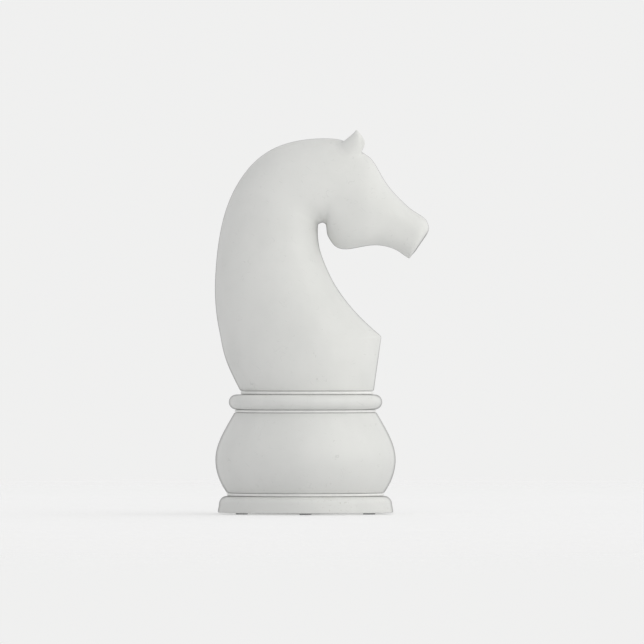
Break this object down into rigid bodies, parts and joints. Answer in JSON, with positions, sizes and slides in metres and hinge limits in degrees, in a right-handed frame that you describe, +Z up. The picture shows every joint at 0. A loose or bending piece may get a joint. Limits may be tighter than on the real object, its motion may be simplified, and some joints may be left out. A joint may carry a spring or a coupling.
{
  "type": "giant chess knight",
  "caption": "Hollow garden chess knight: horse's head, collar, ballast tank and foot stacked on pads and clamped by one tie rod, so it comes apart for storage.",
  "frame": {"origin": "on the turning axis of the foot, tank and collar, at ground level; the tie rod's flat end sits 2 mm above it", "axes": "+Z up along the turning axis, +X the way the horse faces, +Y towards the horse's left side"},
  "size_m": [0.2833, 0.2386, 0.508],
  "materials": {
    "hdpe": "satin",
    "gasket": "matte",
    "rubber": "matte",
    "nylon": "satin",
    "steel": "satin",
    "sand": "matte"
  },
  "bodies": {
    "foot": {"foot_shell": "hdpe", "foot_gasket": "gasket", "foot_pad_1": "rubber", "foot_pad_2": "rubber", "foot_pad_3": "rubber", "foot_pad_4": "rubber", "foot_pad_5": "rubber", "foot_pad_6": "rubber"},
    "tie_washer": {"tie_washer": "steel"},
    "tie": {"tie_rod": "steel", "hand_knob": "nylon"},
    "tank": {"tank_shell": "hdpe", "sand_fill": "sand", "tank_gasket": "gasket"},
    "plug_seal": {"plug_seal": "rubber"},
    "plug": {"filler_plug": "nylon"},
    "collar": {"collar_ring": "hdpe", "neck_gasket": "gasket"},
    "head": {"head_shell_left": "hdpe", "head_shell_right": "hdpe", "neck_plate": "hdpe", "tie_nut": "steel", "nut_cap": "nylon", "head_screw_1": "steel", "head_screw_2": "steel", "head_screw_3": "steel", "head_screw_4": "steel", "head_screw_5": "steel", "head_screw_6": "steel", "screw_cap_1": "hdpe", "screw_cap_2": "hdpe", "screw_cap_3": "hdpe", "screw_cap_4": "hdpe", "screw_cap_5": "hdpe", "screw_cap_6": "hdpe", "plate_screw_1": "steel", "plate_screw_2": "steel", "plate_screw_3": "steel", "plate_screw_4": "steel"}
  },
  "joints": [
    {"name": "tie_withdraw", "type": "slide", "parent": "foot", "child": "tie_washer", "axis": [0, 0, -1], "range_m": [0, 0.0176]},
    {"name": "tie_turn", "type": "hinge", "parent": "tie_washer", "child": "tie", "pos_m": [0, 0, 0.01], "axis": [0, 0, -1], "range_deg": [0, 3600]},
    {"name": "tank_lift", "type": "slide", "parent": "foot", "child": "tank", "axis": [0, 0, 1], "range_m": [0, 0.12]},
    {"name": "plug_withdraw", "type": "slide", "parent": "tank", "child": "plug_seal", "axis": [0, 0, -1], "range_m": [0, 0.0145]},
    {"name": "plug_turn", "type": "hinge", "parent": "plug_seal", "child": "plug", "pos_m": [-0.056, 0, 0.03], "axis": [0, 0, -1], "range_deg": [0, 1296]},
    {"name": "collar_lift", "type": "slide", "parent": "tank", "child": "collar", "axis": [0, 0, 1], "range_m": [0, 0.1]},
    {"name": "head_lift", "type": "slide", "parent": "collar", "child": "head", "axis": [0, 0, 1], "range_m": [0, 0.15]}
  ],
  "couplings": [
    {"joint": "tie_withdraw", "follows": "tie_turn", "m_per_rad": 0.00027852},
    {"joint": "plug_withdraw", "follows": "plug_turn", "m_per_rad": 0.00063662}
  ]
}
